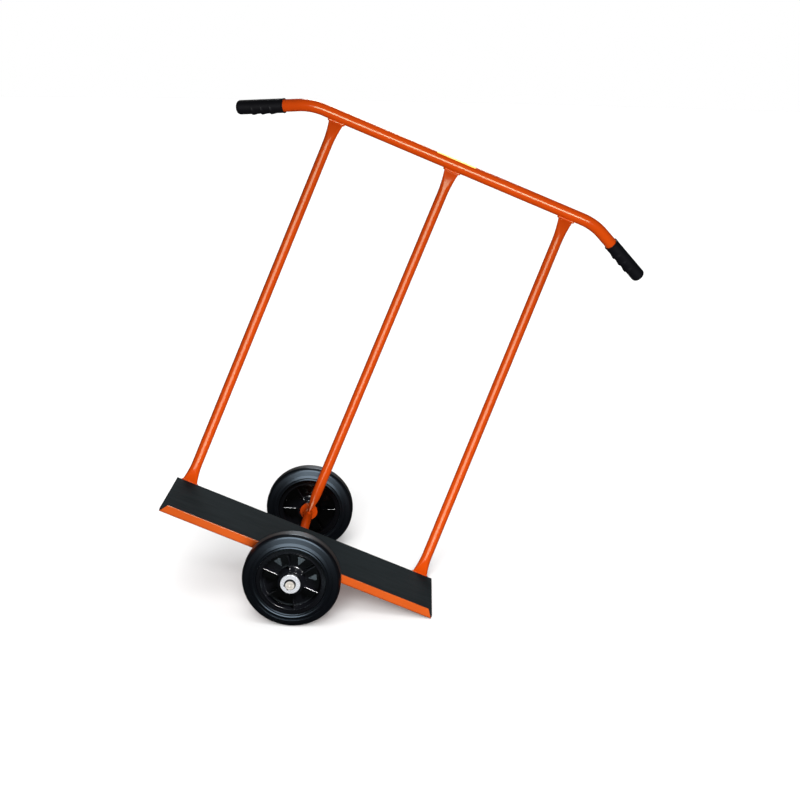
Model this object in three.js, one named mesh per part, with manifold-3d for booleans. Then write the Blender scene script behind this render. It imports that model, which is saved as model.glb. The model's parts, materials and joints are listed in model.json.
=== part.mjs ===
import * as THREE from 'three';
import { mergeVertices } from 'three/addons/utils/BufferGeometryUtils.js';
import Module from 'manifold-3d';

// A hand cart for sheets and panels, in millimetres, +Z up.
// It is drawn level first: X runs along the deck, Y along the axle from the front wheel to the rear wheel,
// and Z = 0 is the axle. It is then tipped on to the right end of its deck, which is how it stands.

const wasm = await Module();
wasm.setup();

const DEGREE = Math.PI / 180;

// Clearances
const SEAT_GAP = 0.3;
const ROLLER_PLAY = 0.15;
const WHEEL_SIDE_PLAY = 0.5;
const LIP_CLEARANCE = 11;
const STRUT_CLEARANCE = 1.5;

// Wheels: a solid tyre on a ribbed centre
const WHEEL_TRACK = 488;
const WHEEL_DIAMETER = 250;
const TYRE_WIDTH = 50;
const TYRE_SHOULDER = 10;
const SIDEWALL_GROOVE_DIAMETER = 212;
const SIDEWALL_GROOVE = 2.2;
const TYRE_BEAD = 2.5;
const RIM_DIAMETER = 177;
const RIM_WIDTH = 42;
const RIM_DEPTH = 13;
const RIM_FLANGE = 4;
const RIM_CHANNEL = 3.5;
const RIM_BEAD = 1;
const RIM_BEAD_WIDTH = 4;
const WEB_THICKNESS = 10;
const HUB_WIDTH = 63;
const HUB_DIAMETER = 64;
const HUB_ROOT = 3;
const RIB_COUNT = 6;
const RIB_THICKNESS = 4;
const RIB_WIDTH = 37;
const RIB_ROOT = 3;
const RIB_FLARE = 8;
const RECESS_START = 40;
const RECESS_LENGTH = 24;
const RECESS_WIDTH = 22;
const RECESS_STEP = 0.5;
const RECESS_SLOPE = 8 * DEGREE;
const FRONT_WHEEL_TURN = 3 * DEGREE;
const REAR_WHEEL_TURN = -21 * DEGREE;

// Roller bearing inside each hub
const ROLLER_COUNT = 8;
const ROLLER_DIAMETER = 8;
const ROLLER_LENGTH = 48;
const CAGE_WALL = 4.6;
const CAGE_RIM = 4;
const SLEEVE_WALL = 2;

// Axle and what holds the wheels on it
const AXLE_DIAMETER = 25;
const AXLE_CHAMFER = 1;
const AXLE_TIP = 5;
const CENTRE_DRILL_DIAMETER = 6;
const CENTRE_DRILL_DEPTH = 3;
const COLLAR_DIAMETER = 50;
const COLLAR_THICKNESS = 5;
const WASHER_DIAMETER = 50;
const WASHER_THICKNESS = 4;
const DISC_CHAMFER = 0.6;
const CIRCLIP_THICKNESS = 1.5;
const CIRCLIP_WIDTH = 2.6;
const CIRCLIP_GROOVE = 1;
const CIRCLIP_OPENING = 50 * DEGREE;
const CIRCLIP_TURN = 151 * DEGREE;
const CIRCLIP_EAR_DIAMETER = 5;
const CIRCLIP_EAR_HOLE = 2;

// Deck: a folded plate with a rubber mat
const DECK_LENGTH = 753;
const DECK_DEPTH = 241;
const PLATE_THICKNESS = 4;
const PLATE_BEND = 4;
const LIP_HEIGHT = 25;
const LIP_MITRE = 17;
const MAT_THICKNESS = 3;

// Upright frame of pressed tubes under a cranked handlebar
const UPRIGHT_SPREAD = 682;
const UPRIGHT_LEAN = 15 * DEGREE;
const HANDLE_ABOVE_PLATE = 1040;
const TUBE_DIAMETER = 28;
const TUBE_WALL = 2;
const PRESSED_THICKNESS = 5;
const PRESSED_LAND = 4;
const FOOT_PRESS_LENGTH = 58;
const HEAD_PRESS_LENGTH = 70;
const BAR_DIAMETER = 33.7;
const BAR_WALL = 2.6;
const BAR_BEND_START = 383;
const BAR_BEND_RADIUS = 136;
const BAR_BEND = 30 * DEGREE;
const BAR_BEND_TURN = 35 * DEGREE;
const BAR_BARE_END = 44;

// Hand grips
const GRIP_LENGTH = 142;
const GRIP_DIAMETER = 39;
const GRIP_END_WALL = 7;
const GRIP_END_ROUND = 10;
const GRIP_MOUTH_BEAD = 0.8;
const GRIP_MOUTH_LENGTH = 4;
const RIDGE_COUNT = 3;
const RIDGE_START = 39;
const RIDGE_PITCH = 27.5;
const RIDGE_SLOPE_LENGTH = 15;
const RIDGE_CREST = 2;
const RIDGE_DROP_LENGTH = 4;
const RIDGE_RISE = 2.6;

// Facets
const WHEEL_SIDES = 30;
const DISC_SIDES = 20;
const GRIP_SIDES = 18;
const SMALL_SIDES = 8;
const EAR_SIDES = 6;
const TUBE_SIDES = 16;
const BAR_SIDES = 20;
const PRESS_STEPS = 4;
const BEND_STEPS = 4;
const ROUND_STEPS = 3;
const FLARE_STEPS = 2;
const CLIP_STEPS = 5;

// Worked out from the sizes above
const AXLE_R = AXLE_DIAMETER / 2;
const WHEEL_R = WHEEL_DIAMETER / 2;
const RIM_R = RIM_DIAMETER / 2;
const HUB_R = HUB_DIAMETER / 2;
const BAR_R = BAR_DIAMETER / 2;
const GRIP_R = GRIP_DIAMETER / 2;
const ROLLER_R = ROLLER_DIAMETER / 2;
const ROLLER_PITCH_R = AXLE_R + ROLLER_PLAY + ROLLER_R;
const SLEEVE_BORE_R = ROLLER_PITCH_R + ROLLER_R + ROLLER_PLAY;
const SLEEVE_R = SLEEVE_BORE_R + SLEEVE_WALL;
const AXLE_BORE_R = AXLE_R + SEAT_GAP;
const HUB_STOP = HUB_WIDTH / 2 + WHEEL_SIDE_PLAY;
const WASHER_FACE = HUB_STOP + WASHER_THICKNESS;
const CIRCLIP_FACE = WASHER_FACE + SEAT_GAP;
const GROOVE_END = CIRCLIP_FACE + CIRCLIP_THICKNESS + SEAT_GAP;
const GROOVE_R = AXLE_R - CIRCLIP_GROOVE;
const AXLE_HALF = WHEEL_TRACK / 2 + GROOVE_END + AXLE_TIP;
const COLLAR_FACE = WHEEL_TRACK / 2 - HUB_STOP - COLLAR_THICKNESS;
const LIP_Y = -COLLAR_FACE + LIP_CLEARANCE;
const PLATE_REAR = LIP_Y + DECK_DEPTH;
const PLATE_UNDER = AXLE_R + SEAT_GAP;
const PLATE_TOP = PLATE_UNDER + PLATE_THICKNESS;
const FOOT_DEPTH = PRESSED_THICKNESS / Math.cos(UPRIGHT_LEAN);
const UPRIGHT_FOOT = new THREE.Vector3(0, PLATE_REAR - FOOT_DEPTH / 2, PLATE_TOP + SEAT_GAP);
const BAR_CENTRE = new THREE.Vector3(
  0,
  UPRIGHT_FOOT.y + HANDLE_ABOVE_PLATE * Math.tan(UPRIGHT_LEAN),
  UPRIGHT_FOOT.z + HANDLE_ABOVE_PLATE,
);
const BEND_WAY = new THREE.Vector3(0, Math.sin(BAR_BEND_TURN), -Math.cos(BAR_BEND_TURN));

const finishes = {
  orangePaint: new THREE.MeshStandardMaterial({ color: 0xd2500c, roughness: 0.35, metalness: 0.1 }),
  blackRubber: new THREE.MeshStandardMaterial({ color: 0x1b1b1e, roughness: 0.7, metalness: 0 }),
  matRubber: new THREE.MeshStandardMaterial({ color: 0x2a2b2b, roughness: 0.9, metalness: 0 }),
  gripVinyl: new THREE.MeshStandardMaterial({ color: 0x141417, roughness: 0.55, metalness: 0 }),
  blackPlastic: new THREE.MeshStandardMaterial({ color: 0x0d0d10, roughness: 0.4, metalness: 0 }),
  brightZinc: new THREE.MeshStandardMaterial({ color: 0xd9dce0, roughness: 0.3, metalness: 0.9 }),
  springSteel: new THREE.MeshStandardMaterial({ color: 0x2d2e31, roughness: 0.45, metalness: 0.8 }),
  bearingSteel: new THREE.MeshStandardMaterial({ color: 0xb4b8bc, roughness: 0.25, metalness: 1 }),
  cagePlastic: new THREE.MeshStandardMaterial({ color: 0xdcd8c8, roughness: 0.6, metalness: 0 }),
};

const frame = new THREE.Group();
const root = new THREE.Group();

function add(parent, name, geometry, material) {
  const mesh = new THREE.Mesh(geometry, material);
  mesh.name = name;
  parent.add(mesh);
  return mesh;
}

// A closed three.js shape as a solid for cutting and joining
function solidOf(geometry) {
  const bare = geometry.clone();
  bare.deleteAttribute('normal');
  bare.deleteAttribute('uv');
  const welded = mergeVertices(bare);
  const corners = welded.index.array;
  const triVerts = [];
  for (let i = 0; i < corners.length; i += 3) {
    const [a, b, c] = corners.slice(i, i + 3);
    if (a !== b && b !== c && c !== a) {
      triVerts.push(a, b, c);
    }
  }
  return new wasm.Manifold(new wasm.Mesh({
    numProp: 3,
    vertProperties: new Float32Array(welded.attributes.position.array),
    triVerts: new Uint32Array(triVerts),
  }));
}

function geometryOf(solid) {
  const { vertProperties, triVerts } = solid.getMesh();
  const geometry = new THREE.BufferGeometry();
  geometry.setAttribute('position', new THREE.BufferAttribute(vertProperties, 3));
  geometry.setIndex(new THREE.BufferAttribute(triVerts, 1));
  geometry.computeVertexNormals();
  return geometry;
}

// A body of revolution about Y from [radius, height] points listed upwards along its outside
function turned(points, sides) {
  return new THREE.LatheGeometry(points.map(([r, y]) => new THREE.Vector2(r, y)), sides);
}

// A ring about Y: the outline closes on itself
function turnedRing(points, sides) {
  return turned([...points, points[0]], sides);
}

// A flat ring with chamfered outer edges, from Y = 0 to its thickness
function disc(outerR, boreR, thickness) {
  return turnedRing([
    [boreR, 0],
    [outerR - DISC_CHAMFER, 0],
    [outerR, DISC_CHAMFER],
    [outerR, thickness - DISC_CHAMFER],
    [outerR - DISC_CHAMFER, thickness],
    [boreR, thickness],
  ], DISC_SIDES);
}

// A hollow tube through a row of stations, each with an outer and an inner ring of points
function hollowLoft(stations) {
  const sides = stations[0].outer.length;
  const last = stations.length - 1;
  const points = stations.flatMap(({ outer, inner }) => [...outer, ...inner]);
  const faces = [];
  const at = (station, wall, k) => (station * 2 + wall) * sides + (k % sides);
  const quad = (a, b, c, d) => faces.push(a, b, c, a, c, d);
  for (let k = 0; k < sides; k += 1) {
    for (let s = 0; s < last; s += 1) {
      quad(at(s, 0, k), at(s, 0, k + 1), at(s + 1, 0, k + 1), at(s + 1, 0, k));
      quad(at(s, 1, k), at(s + 1, 1, k), at(s + 1, 1, k + 1), at(s, 1, k + 1));
    }
    quad(at(0, 0, k), at(0, 1, k), at(0, 1, k + 1), at(0, 0, k + 1));
    quad(at(last, 0, k), at(last, 0, k + 1), at(last, 1, k + 1), at(last, 1, k));
  }
  const geometry = new THREE.BufferGeometry().setFromPoints(points);
  geometry.setIndex(faces);
  geometry.computeVertexNormals();
  return geometry;
}

// A tube squeezed to a thickness keeps its girth: two flats between two half rounds
function pressedRing(centre, u, v, thickness, flat, wideAlongU) {
  const ring = [];
  for (let k = 0; k < TUBE_SIDES; k += 1) {
    const angle = ((k + 0.5) / TUBE_SIDES) * 2 * Math.PI;
    const c = Math.cos(angle);
    const s = Math.sin(angle);
    const across = (c * thickness + (wideAlongU ? Math.sign(c) * flat : 0)) / 2;
    const through = (s * thickness + (wideAlongU ? 0 : Math.sign(s) * flat)) / 2;
    ring.push(centre.clone().addScaledVector(u, across).addScaledVector(v, through));
  }
  return ring;
}

// A tube from a level seat at its foot to the underside of the handlebar, pressed flat at both ends.
// Its head is wide along X, as the bar is. Its foot is wide along X, or along the axle.
function pressedTube(foot, wideFootAlongX) {
  const barCentre = new THREE.Vector3(foot.x, BAR_CENTRE.y, BAR_CENTRE.z);
  const axis = barCentre.clone().sub(foot);
  const length = axis.length() - BAR_R - SEAT_GAP;
  axis.normalize();
  const u = new THREE.Vector3(1, 0, 0);
  const v = axis.clone().cross(u);
  const seat = new THREE.Plane(new THREE.Vector3(0, 0, 1), -foot.z);
  const station = (along, thickness, wideAlongU) => {
    const centre = foot.clone().addScaledVector(axis, along);
    const flat = Math.PI * (TUBE_DIAMETER - thickness) / 2;
    return {
      outer: pressedRing(centre, u, v, thickness, flat, wideAlongU),
      inner: pressedRing(centre, u, v, thickness - 2 * TUBE_WALL, flat, wideAlongU),
    };
  };
  const stations = [];
  // it swells quickly from the pressed end and runs slowly into the round tube
  const pressed = (share) => THREE.MathUtils.lerp(PRESSED_THICKNESS, TUBE_DIAMETER, share * (2 - share));
  stations.push(station(0, PRESSED_THICKNESS, wideFootAlongX));
  for (let i = 0; i <= PRESS_STEPS; i += 1) {
    const share = i / PRESS_STEPS;
    const along = THREE.MathUtils.lerp(PRESSED_LAND, FOOT_PRESS_LENGTH, share);
    stations.push(station(along, pressed(share), wideFootAlongX));
  }
  for (let i = PRESS_STEPS; i >= 0; i -= 1) {
    const share = i / PRESS_STEPS;
    const along = length - THREE.MathUtils.lerp(PRESSED_LAND, HEAD_PRESS_LENGTH, share);
    stations.push(station(along, pressed(share), true));
  }
  stations.push(station(length, PRESSED_THICKNESS, true));
  for (const ring of [stations[0].outer, stations[0].inner]) {
    for (const point of ring) {
      point.addScaledVector(axis, -seat.distanceToPoint(point) / axis.z);
    }
  }
  return hollowLoft(stations);
}

// Handlebar centreline, one side of it: along the bar, out of line with it, and heading
function barStation(bendShare, beyond) {
  const heading = bendShare * BAR_BEND;
  return {
    along: BAR_BEND_START + BAR_BEND_RADIUS * Math.sin(heading) + beyond * Math.cos(heading),
    aside: BAR_BEND_RADIUS * (1 - Math.cos(heading)) + beyond * Math.sin(heading),
    heading,
  };
}

function barPoint({ along, aside }, side) {
  return BAR_CENTRE.clone().add(new THREE.Vector3(side * along, 0, 0)).addScaledVector(BEND_WAY, aside);
}

function barHeading({ heading }, side) {
  return new THREE.Vector3(side * Math.cos(heading), 0, 0).addScaledVector(BEND_WAY, Math.sin(heading));
}

function circleRing(centre, u, v, radius, sides) {
  return Array.from({ length: sides }, (_, k) => {
    const angle = (k / sides) * 2 * Math.PI;
    return centre.clone()
      .addScaledVector(u, radius * Math.cos(angle))
      .addScaledVector(v, radius * Math.sin(angle));
  });
}

const BAR_END = BAR_BARE_END + GRIP_LENGTH - GRIP_END_WALL - SEAT_GAP;

function handlebarGeometry() {
  const half = [];
  for (let i = 0; i <= BEND_STEPS; i += 1) {
    half.push(barStation(i / BEND_STEPS, 0));
  }
  half.push(barStation(1, BAR_END));
  const u = new THREE.Vector3(1, 0, 0).cross(BEND_WAY);
  const ringsAt = (station, side) => {
    const centre = barPoint(station, side);
    const forward = barHeading(station, side).multiplyScalar(side);
    const v = forward.cross(u);
    return {
      outer: circleRing(centre, u, v, BAR_R, BAR_SIDES),
      inner: circleRing(centre, u, v, BAR_R - BAR_WALL, BAR_SIDES),
    };
  };
  const left = half.toReversed().map((station) => ringsAt(station, -1));
  const right = half.map((station) => ringsAt(station, 1));
  return hollowLoft([...left, ...right]);
}

// A blind sleeve along +Y with finger ridges on its +Z side, each steeper towards the closed end
function gripGeometry() {
  const boreR = BAR_R + SEAT_GAP;
  const boreEnd = GRIP_LENGTH - GRIP_END_WALL;
  const mouthR = GRIP_R + GRIP_MOUTH_BEAD;
  const outside = [
    [0, 0],
    [mouthR, 0],
    [mouthR, GRIP_MOUTH_LENGTH / 2],
    [GRIP_R, GRIP_MOUTH_LENGTH],
  ];
  for (let i = 0; i <= ROUND_STEPS; i += 1) {
    const angle = (i / ROUND_STEPS) * Math.PI / 2;
    outside.push([
      GRIP_R - GRIP_END_ROUND * (1 - Math.cos(angle)),
      GRIP_LENGTH - GRIP_END_ROUND * (1 - Math.sin(angle)),
    ]);
  }
  outside.push([0, GRIP_LENGTH]);
  const bore = turned([[0, -boreEnd], [boreR, -boreEnd], [boreR, boreEnd], [0, boreEnd]], GRIP_SIDES);
  const ridge = turned([
    [0, -RIDGE_SLOPE_LENGTH],
    [GRIP_R - RIDGE_RISE, -RIDGE_SLOPE_LENGTH],
    [GRIP_R, -RIDGE_CREST / 2],
    [GRIP_R, RIDGE_CREST / 2],
    [GRIP_R - RIDGE_RISE, RIDGE_DROP_LENGTH],
    [0, RIDGE_DROP_LENGTH],
  ], GRIP_SIDES);
  let grip = solidOf(turned(outside, GRIP_SIDES));
  for (let i = 0; i < RIDGE_COUNT; i += 1) {
    const raised = ridge.clone().translate(0, RIDGE_START + i * RIDGE_PITCH, RIDGE_RISE);
    grip = grip.add(solidOf(raised));
  }
  return geometryOf(grip.subtract(solidOf(bore)));
}

function addGrip(name, side) {
  const mouth = barStation(1, BAR_BARE_END);
  const along = barHeading(mouth, side);
  const under = new THREE.Vector3(0, 0, -1).projectOnPlane(along).normalize();
  const grip = add(frame, name, gripGeometry(), finishes.gripVinyl);
  grip.quaternion.setFromRotationMatrix(
    new THREE.Matrix4().makeBasis(along.clone().cross(under), along, under),
  );
  grip.position.copy(barPoint(mouth, side));
}

// The deck is folded up along its front edge, and the ends of that lip are mitred
function deckPlateGeometry() {
  const lipTop = PLATE_UNDER + LIP_HEIGHT;
  const outerBend = PLATE_BEND + PLATE_THICKNESS;
  const fold = new THREE.Shape();
  fold.moveTo(PLATE_REAR, PLATE_UNDER);
  fold.lineTo(PLATE_REAR, PLATE_TOP);
  fold.absarc(LIP_Y + outerBend, PLATE_UNDER + outerBend, PLATE_BEND, -Math.PI / 2, -Math.PI, true);
  fold.lineTo(LIP_Y + PLATE_THICKNESS, lipTop);
  fold.lineTo(LIP_Y, lipTop);
  fold.absarc(LIP_Y + outerBend, PLATE_UNDER + outerBend, outerBend, Math.PI, 1.5 * Math.PI, false);
  const along = { depth: DECK_LENGTH, bevelEnabled: false, curveSegments: ROUND_STEPS };
  const extruded = new THREE.ExtrudeGeometry(fold, along);
  extruded.translate(0, 0, -DECK_LENGTH / 2);
  // the outline's axes and the way it is pulled become Y, Z and X
  const turn = new THREE.Matrix4().makeBasis(
    new THREE.Vector3(0, 1, 0),
    new THREE.Vector3(0, 0, 1),
    new THREE.Vector3(1, 0, 0),
  );
  let plate = solidOf(extruded.applyMatrix4(turn));
  const corner = new THREE.Shape();
  corner.moveTo(DECK_LENGTH / 2, PLATE_UNDER);
  corner.lineTo(DECK_LENGTH / 2 + LIP_MITRE, PLATE_UNDER);
  corner.lineTo(DECK_LENGTH / 2 + LIP_MITRE, lipTop + LIP_HEIGHT);
  corner.lineTo(DECK_LENGTH / 2 - 2 * LIP_MITRE, lipTop + LIP_HEIGHT);
  const cutDepth = 2 * outerBend;
  const cutter = new THREE.ExtrudeGeometry(corner, { depth: cutDepth, bevelEnabled: false });
  cutter.rotateX(Math.PI / 2);
  cutter.translate(0, LIP_Y + outerBend, 0);
  plate = plate.subtract(solidOf(cutter));
  cutter.rotateZ(Math.PI);
  cutter.translate(0, 2 * LIP_Y + 2 * outerBend - cutDepth, 0);
  return geometryOf(plate.subtract(solidOf(cutter)));
}

function matGeometry() {
  const front = LIP_Y + PLATE_THICKNESS + PLATE_BEND + SEAT_GAP;
  const rear = PLATE_REAR - FOOT_DEPTH - SEAT_GAP;
  const mat = new THREE.BoxGeometry(DECK_LENGTH, rear - front, MAT_THICKNESS);
  mat.translate(0, (front + rear) / 2, PLATE_TOP + SEAT_GAP + MAT_THICKNESS / 2);
  return mat;
}

// One bar with centre-drilled, chamfered ends and a groove near each end
function axleGeometry() {
  const grooveInner = WHEEL_TRACK / 2 + WASHER_FACE;
  const grooveOuter = WHEEL_TRACK / 2 + GROOVE_END;
  const rearHalf = [
    [AXLE_R, grooveInner],
    [GROOVE_R, grooveInner],
    [GROOVE_R, grooveOuter],
    [AXLE_R, grooveOuter],
    [AXLE_R, AXLE_HALF - AXLE_CHAMFER],
    [AXLE_R - AXLE_CHAMFER, AXLE_HALF],
    [CENTRE_DRILL_DIAMETER / 2, AXLE_HALF],
    [0, AXLE_HALF - CENTRE_DRILL_DEPTH],
  ];
  const frontHalf = rearHalf.toReversed().map(([r, y]) => [r, -y]);
  return turned([...frontHalf, ...rearHalf], DISC_SIDES);
}

// A split ring with two pierced ears, lying in XY
function circlipGeometry() {
  const innerR = GROOVE_R + SEAT_GAP;
  const outerR = innerR + CIRCLIP_WIDTH;
  const start = Math.PI / 2 + CIRCLIP_OPENING / 2;
  const end = start + 2 * Math.PI - CIRCLIP_OPENING;
  const extrusion = { depth: CIRCLIP_THICKNESS, bevelEnabled: false, curveSegments: CLIP_STEPS };
  const split = new THREE.Shape();
  split.absarc(0, 0, outerR, start, end, false);
  split.absarc(0, 0, innerR, end, start, true);
  let clip = solidOf(new THREE.ExtrudeGeometry(split, extrusion));
  for (const angle of [start, end]) {
    const x = outerR * Math.cos(angle);
    const y = outerR * Math.sin(angle);
    const ear = new THREE.CylinderGeometry(
      CIRCLIP_EAR_DIAMETER / 2,
      CIRCLIP_EAR_DIAMETER / 2,
      CIRCLIP_THICKNESS,
      EAR_SIDES,
    );
    const pin = new THREE.CylinderGeometry(
      CIRCLIP_EAR_HOLE / 2,
      CIRCLIP_EAR_HOLE / 2,
      3 * CIRCLIP_THICKNESS,
      EAR_SIDES,
    );
    for (const round of [ear, pin]) {
      round.rotateX(Math.PI / 2);
      round.translate(x, y, CIRCLIP_THICKNESS / 2);
    }
    clip = clip.add(solidOf(ear)).subtract(solidOf(pin));
  }
  // the ears stand clear of the groove
  const shaft = new THREE.CylinderGeometry(innerR, innerR, 3 * CIRCLIP_THICKNESS, DISC_SIDES);
  shaft.rotateX(Math.PI / 2);
  return geometryOf(clip.subtract(solidOf(shaft)));
}

// Half outlines run from the tread over a grooved sidewall to the seat, and are mirrored for the other half
function tyreGeometry() {
  const halfWidth = TYRE_WIDTH / 2;
  const grooveR = SIDEWALL_GROOVE_DIAMETER / 2;
  const seatR = RIM_R + SEAT_GAP;
  const flangeInner = RIM_WIDTH / 2 - RIM_FLANGE;
  const half = [];
  for (let i = 0; i <= ROUND_STEPS; i += 1) {
    const angle = (i / ROUND_STEPS) * Math.PI / 2;
    half.push([
      WHEEL_R - TYRE_SHOULDER * (1 - Math.cos(angle)),
      halfWidth - TYRE_SHOULDER * (1 - Math.sin(angle)),
    ]);
  }
  half.push(
    [grooveR + 2 * SIDEWALL_GROOVE, halfWidth],
    [grooveR, halfWidth - SIDEWALL_GROOVE],
    [seatR + TYRE_BEAD, halfWidth],
    [seatR, halfWidth - TYRE_BEAD],
    [seatR, flangeInner],
    [seatR - RIM_CHANNEL, flangeInner - RIM_CHANNEL],
  );
  const mirrored = half.toReversed().map(([r, y]) => [r, -y]);
  return turnedRing([...mirrored, ...half], WHEEL_SIDES);
}

// A radial rib, drawn along X and across the wheel, that flares up the hub on both faces
function ribGeometry(startR, endR) {
  const half = RIB_WIDTH / 2;
  const flared = half + RIB_FLARE;
  const flareR = HUB_R + RIB_FLARE;
  const outline = new THREE.Shape();
  outline.moveTo(startR, -flared);
  outline.lineTo(HUB_R, -flared);
  outline.absarc(flareR, -flared, RIB_FLARE, Math.PI, Math.PI / 2, true);
  outline.lineTo(endR, -half);
  outline.lineTo(endR, half);
  outline.lineTo(flareR, half);
  outline.absarc(flareR, flared, RIB_FLARE, -Math.PI / 2, -Math.PI, true);
  outline.lineTo(startR, flared);
  const extrusion = { depth: RIB_THICKNESS, bevelEnabled: false, curveSegments: FLARE_STEPS };
  return new THREE.ExtrudeGeometry(outline, extrusion).translate(0, 0, -RIB_THICKNESS / 2);
}

// What is cut from the web in each pocket: a wedge pointing at the hub, deepest towards the rim
function recessGeometry() {
  const wedge = new THREE.Shape();
  wedge.moveTo(0, 0);
  wedge.lineTo(RECESS_LENGTH, -RECESS_WIDTH / 2);
  wedge.lineTo(RECESS_LENGTH, RECESS_WIDTH / 2);
  const recess = new THREE.ExtrudeGeometry(wedge, { depth: WEB_THICKNESS, bevelEnabled: false });
  recess.rotateX(-Math.PI / 2);
  recess.rotateZ(-RECESS_SLOPE);
  return recess.translate(RECESS_START, WEB_THICKNESS / 2 - RECESS_STEP, 0);
}

// Hub, web and channelled rim in one turning, joined by ribs with a recess between each two
function wheelCentreGeometry() {
  const boreR = SLEEVE_R + SEAT_GAP;
  const rimInnerR = RIM_R - RIM_DEPTH;
  const halfRim = RIM_WIDTH / 2;
  const half = [
    [RIM_R - RIM_CHANNEL, halfRim - RIM_FLANGE - RIM_CHANNEL],
    [RIM_R, halfRim - RIM_FLANGE],
    [RIM_R, halfRim],
    [rimInnerR + RIM_BEAD_WIDTH, halfRim],
    [rimInnerR + RIM_BEAD_WIDTH / 2, halfRim + RIM_BEAD],
    [rimInnerR, halfRim],
    [rimInnerR - RIB_ROOT, WEB_THICKNESS / 2],
    [HUB_R + HUB_ROOT, WEB_THICKNESS / 2],
    [HUB_R, HUB_WIDTH / 2],
    [boreR, HUB_WIDTH / 2],
  ];
  const mirrored = half.toReversed().map(([r, y]) => [r, -y]);
  let centre = solidOf(turnedRing([...mirrored, ...half], WHEEL_SIDES));
  const ribStep = 2 * Math.PI / RIB_COUNT;
  const rib = ribGeometry(HUB_R - RIB_ROOT, rimInnerR + RIB_ROOT);
  const recess = recessGeometry().rotateY(ribStep / 2);
  for (let i = 0; i < RIB_COUNT; i += 1) {
    centre = centre.add(solidOf(rib));
    for (const face of [recess, recess.clone().rotateX(Math.PI)]) {
      centre = centre.subtract(solidOf(face));
    }
    rib.rotateY(ribStep);
    recess.rotateY(ribStep);
  }
  return geometryOf(centre);
}

function sleeveGeometry() {
  const half = HUB_WIDTH / 2;
  return turnedRing([
    [SLEEVE_BORE_R, -half],
    [SLEEVE_R, -half],
    [SLEEVE_R, half],
    [SLEEVE_BORE_R, half],
  ], WHEEL_SIDES);
}

function cageGeometry() {
  const innerR = ROLLER_PITCH_R - CAGE_WALL / 2;
  const outerR = ROLLER_PITCH_R + CAGE_WALL / 2;
  const half = ROLLER_LENGTH / 2 + ROLLER_PLAY + CAGE_RIM;
  const ring = turnedRing([[innerR, -half], [outerR, -half], [outerR, half], [innerR, half]], DISC_SIDES);
  const pocketWidth = ROLLER_DIAMETER + 2 * ROLLER_PLAY;
  const pocket = new THREE.BoxGeometry(3 * CAGE_WALL, ROLLER_LENGTH + 2 * ROLLER_PLAY, pocketWidth);
  pocket.translate(ROLLER_PITCH_R, 0, 0);
  let cage = solidOf(ring);
  for (let i = 0; i < ROLLER_COUNT; i += 1) {
    cage = cage.subtract(solidOf(pocket));
    pocket.rotateY(2 * Math.PI / ROLLER_COUNT);
  }
  return geometryOf(cage);
}

function addWheel(name, side, turn) {
  const wheel = new THREE.Group();
  wheel.position.y = side * WHEEL_TRACK / 2;
  wheel.rotation.y = turn;
  add(wheel, `${name}_tyre`, tyreGeometry(), finishes.blackRubber);
  add(wheel, `${name}_wheel_centre`, wheelCentreGeometry(), finishes.blackPlastic);
  add(wheel, `${name}_bearing_sleeve`, sleeveGeometry(), finishes.bearingSteel);
  add(wheel, `${name}_roller_cage`, cageGeometry(), finishes.cagePlastic);
  for (let i = 0; i < ROLLER_COUNT; i += 1) {
    const angle = i * 2 * Math.PI / ROLLER_COUNT;
    const roller = new THREE.CylinderGeometry(ROLLER_R, ROLLER_R, ROLLER_LENGTH, SMALL_SIDES);
    const mesh = add(wheel, `${name}_roller_${i + 1}`, roller, finishes.bearingSteel);
    mesh.position.set(ROLLER_PITCH_R * Math.cos(angle), 0, -ROLLER_PITCH_R * Math.sin(angle));
  }
  frame.add(wheel);

  // What stays with the axle: a welded collar inside the wheel, a loose washer and a circlip outside it
  const stack = new THREE.Group();
  stack.position.y = side * WHEEL_TRACK / 2;
  const collar = disc(COLLAR_DIAMETER / 2, AXLE_BORE_R, COLLAR_THICKNESS);
  const washer = disc(WASHER_DIAMETER / 2, AXLE_BORE_R, WASHER_THICKNESS);
  const collarMesh = add(stack, `${name}_collar`, collar, finishes.orangePaint);
  const washerMesh = add(stack, `${name}_washer`, washer, finishes.brightZinc);
  const clipMesh = add(stack, `${name}_circlip`, circlipGeometry(), finishes.springSteel);
  collarMesh.position.y = -side * (HUB_STOP + COLLAR_THICKNESS / 2) - COLLAR_THICKNESS / 2;
  washerMesh.position.y = side * (HUB_STOP + WASHER_THICKNESS / 2) - WASHER_THICKNESS / 2;
  clipMesh.position.y = side * (CIRCLIP_FACE + CIRCLIP_THICKNESS / 2) + CIRCLIP_THICKNESS / 2;
  clipMesh.rotation.set(Math.PI / 2, 0, CIRCLIP_TURN);
  frame.add(stack);
}

add(frame, 'deck_plate', deckPlateGeometry(), finishes.orangePaint);
add(frame, 'anti_slip_mat', matGeometry(), finishes.matRubber);
add(frame, 'axle', axleGeometry(), finishes.orangePaint);
add(frame, 'handlebar', handlebarGeometry(), finishes.orangePaint);
for (const [name, side] of [['left', -1], ['right', 1]]) {
  const foot = UPRIGHT_FOOT.clone().setX(side * UPRIGHT_SPREAD / 2);
  add(frame, `${name}_upright`, pressedTube(foot, true), finishes.orangePaint);
  addGrip(`${name}_grip`, side);
}

// The centre strut stands on the axle just inside the rear collar
const PRESSED_WIDTH = PRESSED_THICKNESS + Math.PI * (TUBE_DIAMETER - PRESSED_THICKNESS) / 2;
const STRUT_FOOT = new THREE.Vector3(
  0,
  COLLAR_FACE - STRUT_CLEARANCE - PRESSED_WIDTH / 2,
  AXLE_R + SEAT_GAP,
);
add(frame, 'centre_strut', pressedTube(STRUT_FOOT, false), finishes.orangePaint);

addWheel('front', -1, FRONT_WHEEL_TURN);
addWheel('rear', 1, REAR_WHEEL_TURN);

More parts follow.
